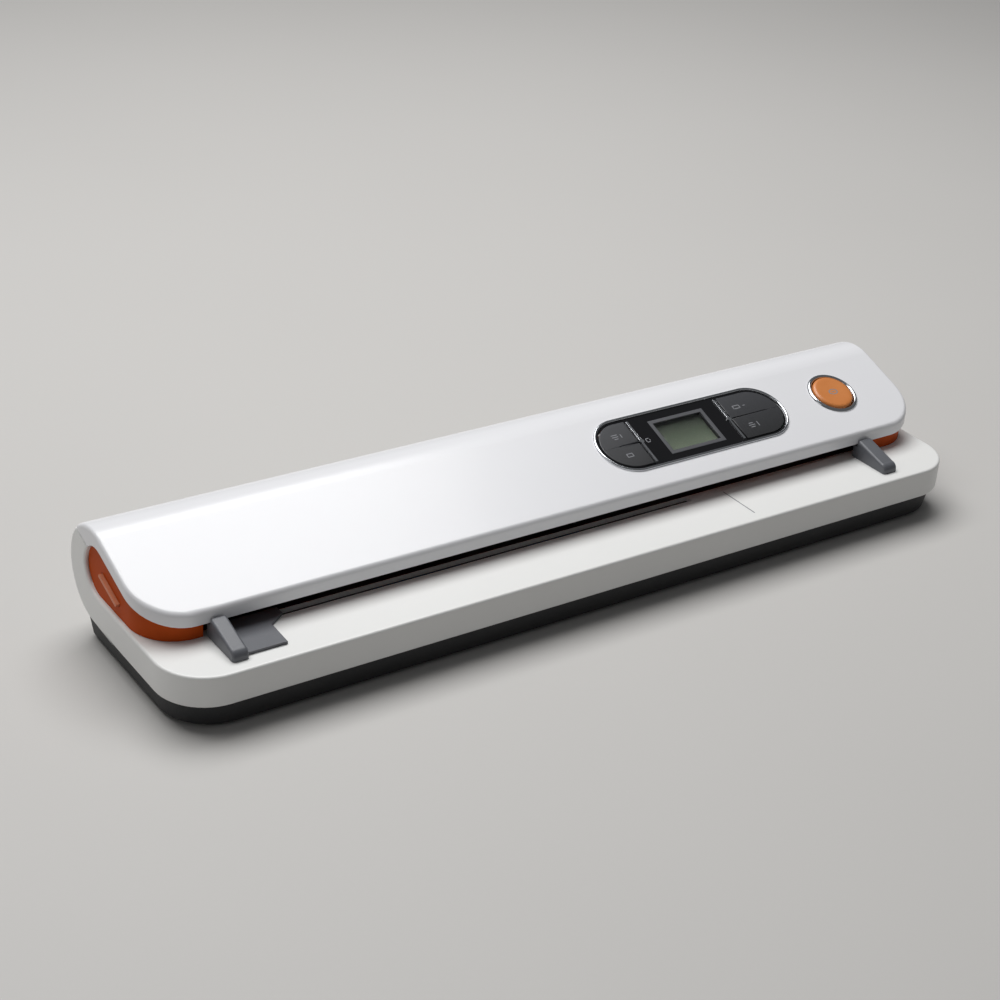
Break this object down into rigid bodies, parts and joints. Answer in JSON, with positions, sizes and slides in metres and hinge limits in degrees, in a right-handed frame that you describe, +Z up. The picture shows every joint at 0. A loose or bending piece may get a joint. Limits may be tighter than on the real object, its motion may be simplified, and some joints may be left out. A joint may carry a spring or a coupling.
{
  "type": "portable sheet-feed document scanner",
  "caption": "Portable sheet-feed scanner: white C-shaped shell with a front feed tray, sloping cover with keys and display, paper guides, and a roller feed under an image sensor.",
  "frame": {"origin": "middle of the footprint, on the plane of the rubber feet", "axes": "+X along the length to the right, +Y from the feed tray to the rear wrap, +Z up"},
  "size_m": [0.27, 0.0656, 0.0368],
  "materials": {
    "white_shell": "gloss moulded ABS",
    "orange_plastic": "satin moulded ABS",
    "black_plastic": "fine textured ABS",
    "rubber_pad": "matt rubber",
    "roller_rubber": "ground rubber",
    "pinch_plastic": "moulded acetal",
    "steel": "bright steel",
    "brass": "turned brass",
    "guide_grey": "satin moulded ABS",
    "platen_white": "satin film",
    "panel_black": "polished acrylic",
    "key_black": "satin coated ABS",
    "chrome_trim": "chrome plated ABS",
    "bezel_grey": "printed frame",
    "display_glass": "clear acrylic",
    "display_cell": "liquid crystal cell",
    "sensor_glass": "clear glass",
    "button_orange": "satin coated ABS",
    "circuit_board": "solder resist",
    "switch_body": "moulded nylon",
    "card_plastic": "moulded plastic",
    "battery_wrap": "shrink film",
    "flat_cable": "polyester film"
  },
  "bodies": {
    "housing": {"upper_cover": "white_shell", "tray_shell": "white_shell", "inner_frame": "orange_plastic", "base_cover": "black_plastic", "rubber_feet": "rubber_pad", "base_screws": "steel", "guide_rail": "steel", "right_guide": "guide_grey", "feed_plate": "black_plastic", "platen_strip": "platen_white", "panel_plate": "panel_black", "panel_ring": "chrome_trim", "divider_bars": "chrome_trim", "lcd_bezel": "bezel_grey", "lcd_window": "display_glass", "lcd_module": "display_cell", "button_ring": "chrome_trim", "control_boards": "circuit_board", "tact_switches": "switch_body", "main_board": "circuit_board", "usb_socket": "steel", "card_socket": "steel", "battery_pack": "battery_wrap", "sensor_cable": "flat_cable", "sensor_springs": "steel", "roller_bushes": "pinch_plastic", "gear_bracket": "steel", "bearing_bracket": "steel", "gear_studs": "steel", "drive_motor": "steel"},
    "left_guide": {"left_guide": "guide_grey", "guide_carriage": "guide_grey"},
    "menu_key_upper": {"menu_key_upper": "key_black"},
    "menu_key_lower": {"menu_key_lower": "key_black"},
    "mode_key_upper": {"mode_key_upper": "key_black"},
    "mode_key_lower": {"mode_key_lower": "key_black"},
    "scan_button": {"scan_button": "button_orange"},
    "memory_card": {"memory_card": "card_plastic"},
    "paper_flag": {"paper_flag": "black_plastic"},
    "image_sensor": {"image_sensor": "black_plastic", "sensor_glass": "sensor_glass"},
    "feed_roller": {"feed_shaft": "steel", "feed_tyres": "roller_rubber", "feed_gear": "pinch_plastic"},
    "exit_roller": {"exit_shaft": "steel", "exit_tyres": "roller_rubber", "exit_gear": "pinch_plastic"},
    "feed_pinch": {"feed_pinch_shaft": "steel", "feed_pinch_tyres": "pinch_plastic"},
    "exit_pinch": {"exit_pinch_shaft": "steel", "exit_pinch_tyres": "pinch_plastic"},
    "transfer_gear": {"transfer_gear": "pinch_plastic"},
    "reduction_gear": {"reduction_gear": "pinch_plastic"},
    "motor_rotor": {"motor_gear": "brass", "motor_shaft": "steel"}
  },
  "joints": [
    {"name": "guide_slide", "type": "slide", "parent": "housing", "child": "left_guide", "axis": [1, 0, 0], "range_m": [0, 0.135]},
    {"name": "menu_key_upper_press", "type": "slide", "parent": "housing", "child": "menu_key_upper", "axis": [0, 0.3387, -0.9409], "range_m": [0, 0.0006], "stiffness_N_per_m": 600},
    {"name": "menu_key_lower_press", "type": "slide", "parent": "housing", "child": "menu_key_lower", "axis": [0, 0.3387, -0.9409], "range_m": [0, 0.0006], "stiffness_N_per_m": 600},
    {"name": "mode_key_upper_press", "type": "slide", "parent": "housing", "child": "mode_key_upper", "axis": [0, 0.3387, -0.9409], "range_m": [0, 0.0006], "stiffness_N_per_m": 600},
    {"name": "mode_key_lower_press", "type": "slide", "parent": "housing", "child": "mode_key_lower", "axis": [0, 0.3387, -0.9409], "range_m": [0, 0.0006], "stiffness_N_per_m": 600},
    {"name": "scan_button_press", "type": "slide", "parent": "housing", "child": "scan_button", "axis": [0, 0.3387, -0.9409], "range_m": [0, 0.0006], "stiffness_N_per_m": 800},
    {"name": "card_slide", "type": "slide", "parent": "housing", "child": "memory_card", "axis": [-1, 0, 0], "range_m": [0, 0.014]},
    {"name": "flag_swing", "type": "hinge", "parent": "housing", "child": "paper_flag", "pos_m": [0.0013, -0.0098, 0.0237], "axis": [1, 0, 0], "range_deg": [0, 40], "stiffness_Nm_per_rad": 0.00002},
    {"name": "sensor_float", "type": "slide", "parent": "housing", "child": "image_sensor", "axis": [0, 0, 1], "range_m": [0, 0.0004], "stiffness_N_per_m": 800, "springref_m": -0.001, "deforming": ["sensor_springs"]},
    {"name": "feed_spin", "type": "hinge", "parent": "housing", "child": "feed_roller", "pos_m": [0.123, -0.0038, 0.0142], "axis": [1, 0, 0], "continuous": true},
    {"name": "exit_spin", "type": "hinge", "parent": "housing", "child": "exit_roller", "pos_m": [0.123, 0.0172, 0.0142], "axis": [1, 0, 0], "continuous": true},
    {"name": "feed_pinch_spin", "type": "hinge", "parent": "housing", "child": "feed_pinch", "pos_m": [0.123, -0.0038, 0.0203], "axis": [1, 0, 0], "continuous": true},
    {"name": "exit_pinch_spin", "type": "hinge", "parent": "housing", "child": "exit_pinch", "pos_m": [0.123, 0.0172, 0.0203], "axis": [1, 0, 0], "continuous": true},
    {"name": "transfer_spin", "type": "hinge", "parent": "housing", "child": "transfer_gear", "pos_m": [0.123, 0.0067, 0.0142], "axis": [1, 0, 0], "continuous": true},
    {"name": "reduction_spin", "type": "hinge", "parent": "housing", "child": "reduction_gear", "pos_m": [0.123, -0.00983, 0.00821], "axis": [1, 0, 0], "continuous": true},
    {"name": "motor_spin", "type": "hinge", "parent": "housing", "child": "motor_rotor", "pos_m": [0.123, -0.0168, 0.0088], "axis": [1, 0, 0], "continuous": true}
  ],
  "couplings": [
    {"joint": "exit_spin", "follows": "feed_spin", "ratio": 1},
    {"joint": "transfer_spin", "follows": "feed_spin", "ratio": -0.61538},
    {"joint": "reduction_spin", "follows": "feed_spin", "ratio": -0.88889},
    {"joint": "motor_spin", "follows": "feed_spin", "ratio": 1.6},
    {"joint": "feed_pinch_spin", "follows": "feed_spin", "ratio": -1.4},
    {"joint": "exit_pinch_spin", "follows": "feed_spin", "ratio": -1.4}
  ]
}
